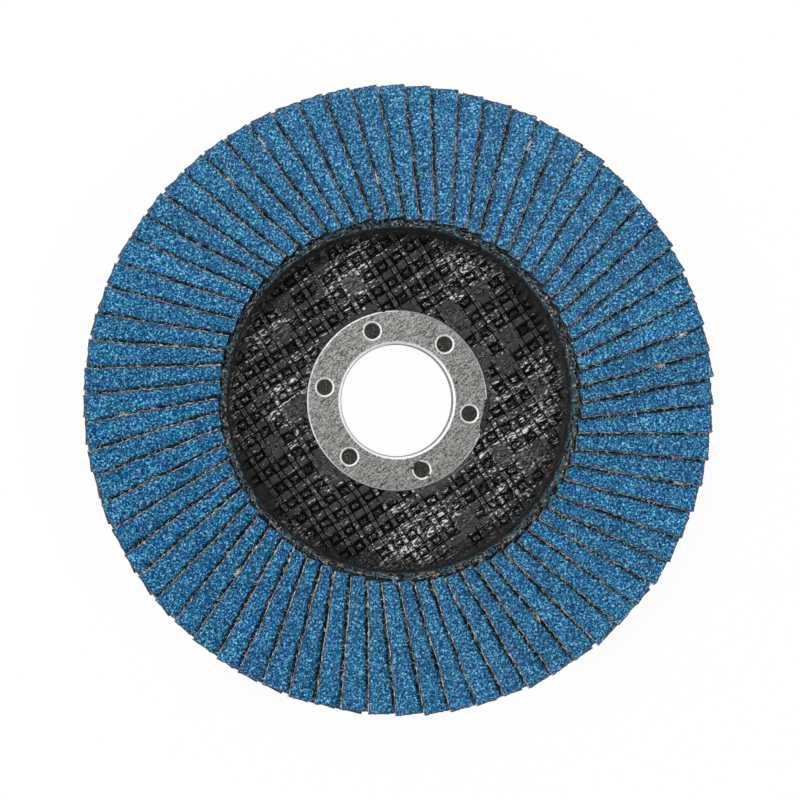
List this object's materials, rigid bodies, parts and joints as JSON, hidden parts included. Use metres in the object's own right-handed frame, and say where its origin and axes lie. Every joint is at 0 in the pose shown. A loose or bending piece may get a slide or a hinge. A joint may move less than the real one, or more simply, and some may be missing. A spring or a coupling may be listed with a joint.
{
  "type": "flap disc",
  "caption": "Depressed-centre flap disc for an angle grinder: overlapping blue abrasive cloth flaps on a resin plate with a steel centre ring.",
  "frame": {"origin": "centre of the bore in the plane of the hub's back, the face that seats on the spindle flange", "axes": "+Z along the bore axis towards the abrasive side; the disc lies on its hub back; X and Y lie in the plane of the disc"},
  "size_m": [0.1251, 0.1251, 0.0134],
  "materials": {
    "plate_resin": "black phenolic resin over glass mesh, uneven gloss",
    "ring_steel": "satin pressed steel with fine scratches and bright edges",
    "cured_adhesive": "rough dark cured adhesive",
    "abrasive_cloth": "coarse blue grit on resin-stiffened woven cloth"
  },
  "bodies": {
    "root": {"backing_plate": "plate_resin", "hub_ring": "ring_steel", "adhesive_bed": "cured_adhesive", "flap_pair_01": "abrasive_cloth", "flap_pair_02": "abrasive_cloth", "flap_pair_03": "abrasive_cloth", "flap_pair_04": "abrasive_cloth", "flap_pair_05": "abrasive_cloth", "flap_pair_06": "abrasive_cloth", "flap_pair_07": "abrasive_cloth", "flap_pair_08": "abrasive_cloth", "flap_pair_09": "abrasive_cloth", "flap_pair_10": "abrasive_cloth", "flap_pair_11": "abrasive_cloth", "flap_pair_12": "abrasive_cloth", "flap_pair_13": "abrasive_cloth", "flap_pair_14": "abrasive_cloth", "flap_pair_15": "abrasive_cloth", "flap_pair_16": "abrasive_cloth", "flap_pair_17": "abrasive_cloth", "flap_pair_18": "abrasive_cloth", "flap_pair_19": "abrasive_cloth", "flap_pair_20": "abrasive_cloth", "flap_pair_21": "abrasive_cloth", "flap_pair_22": "abrasive_cloth", "flap_pair_23": "abrasive_cloth", "flap_pair_24": "abrasive_cloth", "flap_pair_25": "abrasive_cloth", "flap_pair_26": "abrasive_cloth", "flap_pair_27": "abrasive_cloth", "flap_pair_28": "abrasive_cloth", "flap_pair_29": "abrasive_cloth", "flap_pair_30": "abrasive_cloth", "flap_pair_31": "abrasive_cloth", "flap_pair_32": "abrasive_cloth", "flap_pair_33": "abrasive_cloth", "flap_pair_34": "abrasive_cloth", "flap_pair_35": "abrasive_cloth", "flap_pair_36": "abrasive_cloth"}
  },
  "joints": []
}
